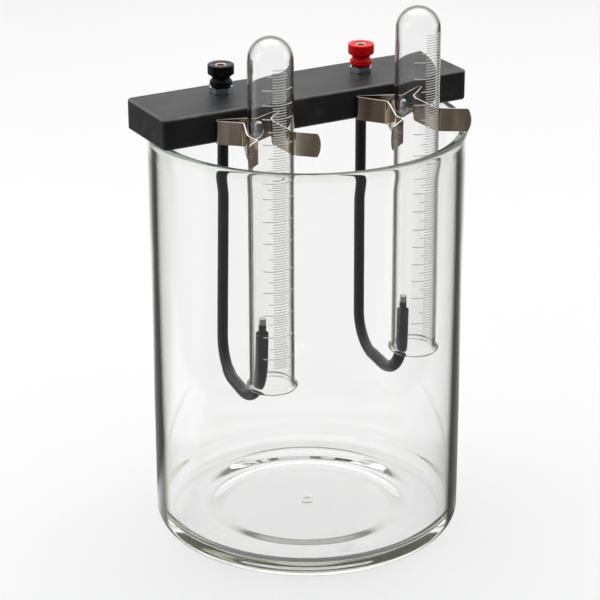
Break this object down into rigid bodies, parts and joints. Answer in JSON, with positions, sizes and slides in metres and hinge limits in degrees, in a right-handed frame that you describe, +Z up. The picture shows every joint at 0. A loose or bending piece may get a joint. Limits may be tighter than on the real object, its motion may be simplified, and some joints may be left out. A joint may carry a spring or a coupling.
{
  "type": "battery-jar electrolysis voltameter",
  "caption": "Tall glass jar with a black bar across its rim that carries screw terminals, hooked electrodes and spring clips holding inverted graduated gas tubes.",
  "frame": {"origin": "centre of the jar's flat underside, where it stands on the bench", "axes": "+Z up along the jar's axis, +X along the support bar towards the red terminal, -Y towards the spring clips and gas tubes"},
  "size_m": [0.1647, 0.154, 0.2684],
  "materials": {
    "jar_glass": "clear moulded glass with a green tint at the rim",
    "tube_glass": "clear polished borosilicate glass",
    "bar_black": "satin charcoal black, fine grain, rubbed grey on the edges",
    "zinc_steel": "bright blue zinc plate",
    "cap_black": "satin gloss moulding",
    "cap_red": "satin gloss moulding",
    "brass": "turned brass",
    "core_wire": "drawn copper rod",
    "sleeve_black": "satin black insulation",
    "neck_white": "black insulation",
    "tip_metal": "bright platinum-coloured metal, fine drawn lines",
    "clip_spring": "polished nickel-bronze spring strip"
  },
  "bodies": {
    "jar": {"glass_jar": "jar_glass"},
    "bar": {"support_bar": "bar_black", "terminal_nut_black": "zinc_steel", "terminal_collar_black": "cap_black", "terminal_stud_black": "brass", "lower_washer_black": "zinc_steel", "lower_nut_black": "zinc_steel", "terminal_nut_red": "zinc_steel", "terminal_collar_red": "cap_red", "terminal_stud_red": "brass", "lower_washer_red": "zinc_steel", "lower_nut_red": "zinc_steel", "electrode_core_black": "core_wire", "electrode_sleeve_black": "sleeve_black", "electrode_boot_black": "sleeve_black", "electrode_neck_black": "neck_white", "electrode_tip_black": "tip_metal", "electrode_core_red": "core_wire", "electrode_sleeve_red": "sleeve_black", "electrode_boot_red": "sleeve_black", "electrode_neck_red": "neck_white", "electrode_tip_red": "tip_metal", "tube_clip_left": "clip_spring", "clip_screw_left": "zinc_steel", "tube_clip_right": "clip_spring", "clip_screw_right": "zinc_steel"},
    "left_tube": {"gas_tube_left": "tube_glass"},
    "right_tube": {"gas_tube_right": "tube_glass"},
    "black_bush": {"cap_bush_black": "brass"},
    "black_cap": {"terminal_cap_black": "cap_black"},
    "red_bush": {"cap_bush_red": "brass"},
    "red_cap": {"terminal_cap_red": "cap_red"}
  },
  "joints": [
    {"name": "bar_lift", "type": "slide", "parent": "jar", "child": "bar", "axis": [0, 0, 1], "range_m": [0, 0.15]},
    {"name": "left_tube_slide", "type": "slide", "parent": "bar", "child": "left_tube", "axis": [0, 0, 1], "range_m": [-0.0004, 0.1095]},
    {"name": "right_tube_slide", "type": "slide", "parent": "bar", "child": "right_tube", "axis": [0, 0, 1], "range_m": [-0.003, 0.105]},
    {"name": "black_cap_rise", "type": "slide", "parent": "bar", "child": "black_bush", "axis": [0, 0, 1], "range_m": [0, 0.005]},
    {"name": "black_cap_turn", "type": "hinge", "parent": "black_bush", "child": "black_cap", "pos_m": [-0.0354, 0.0195, 0.2312], "axis": [0, 0, 1], "range_deg": [0, 1800.5]},
    {"name": "red_cap_rise", "type": "slide", "parent": "bar", "child": "red_bush", "axis": [0, 0, 1], "range_m": [0, 0.005]},
    {"name": "red_cap_turn", "type": "hinge", "parent": "red_bush", "child": "red_cap", "pos_m": [0.0398, 0.0168, 0.2312], "axis": [0, 0, 1], "range_deg": [0, 1800.5]}
  ],
  "couplings": [
    {"joint": "black_cap_turn", "follows": "black_cap_rise", "rad_per_m": 6283.2},
    {"joint": "red_cap_turn", "follows": "red_cap_rise", "rad_per_m": 6283.2}
  ]
}
